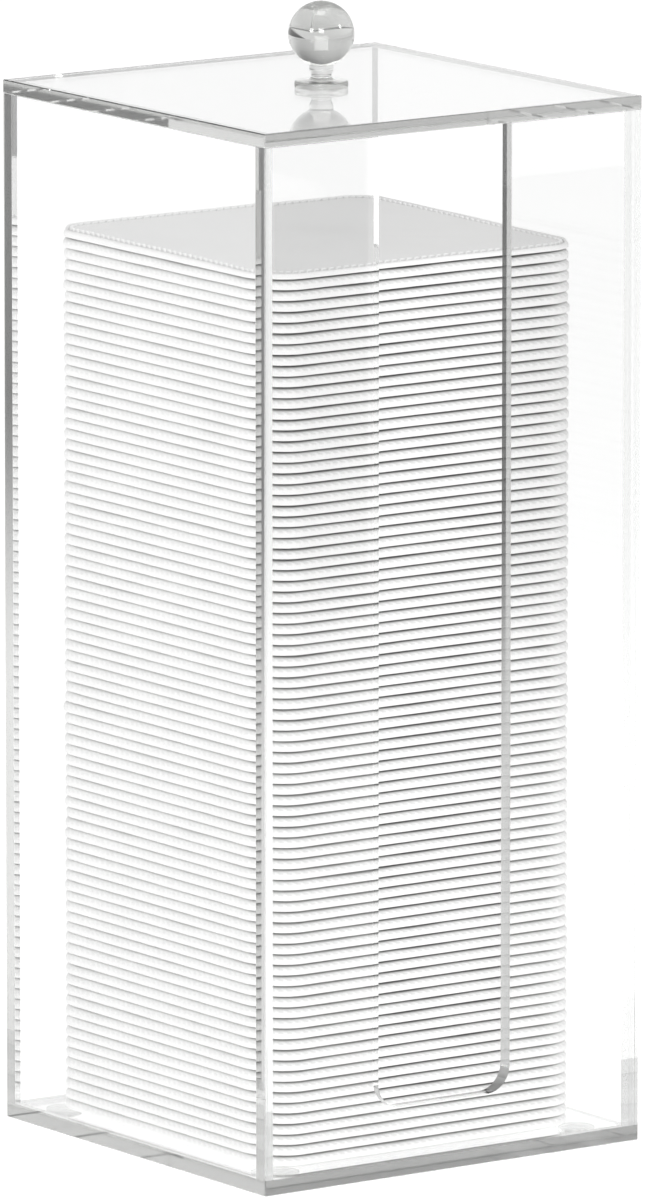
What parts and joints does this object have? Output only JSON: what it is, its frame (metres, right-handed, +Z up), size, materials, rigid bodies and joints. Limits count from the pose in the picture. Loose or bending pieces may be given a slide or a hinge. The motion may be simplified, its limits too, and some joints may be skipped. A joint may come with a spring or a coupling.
{
  "type": "cotton pad holder",
  "caption": "Clear square acrylic tower box with a finger slot in the front, a flat lift-off lid with a ball knob, and a stack of square cotton pads inside.",
  "frame": {"origin": "on the table at the centre of the box's footprint, at the underside of the bumper feet", "axes": "+Z up, along which the lid lifts off; -Y is the front, the side with the finger slot; +X to the right seen from the front"},
  "size_m": [0.094, 0.094, 0.2373],
  "materials": {
    "clear_acrylic": "polished clear sheet",
    "clear_knob": "polished clear",
    "clear_bumper": "clear soft bumper",
    "cotton": "pressed cotton"
  },
  "bodies": {
    "box": {"base_plate": "clear_acrylic", "front_panel": "clear_acrylic", "back_panel": "clear_acrylic", "left_panel": "clear_acrylic", "right_panel": "clear_acrylic", "foot_front_left": "clear_bumper", "foot_front_right": "clear_bumper", "foot_back_left": "clear_bumper", "foot_back_right": "clear_bumper"},
    "lid": {"lid_plate": "clear_acrylic", "lid_knob": "clear_knob"},
    "pad_stack": {"cotton_pads": "cotton"},
    "loose_pad": {"top_pad": "cotton"}
  },
  "joints": [
    {"name": "lid_lift", "type": "slide", "parent": "box", "child": "lid", "axis": [0, 0, 1], "range_m": [0, 0.06]},
    {"name": "stack_lift", "type": "slide", "parent": "box", "child": "pad_stack", "axis": [0, 0, 1], "range_m": [0, 0.013]},
    {"name": "top_pad_lift", "type": "slide", "parent": "pad_stack", "child": "loose_pad", "axis": [0, 0, 1], "range_m": [0, 0.013]}
  ]
}
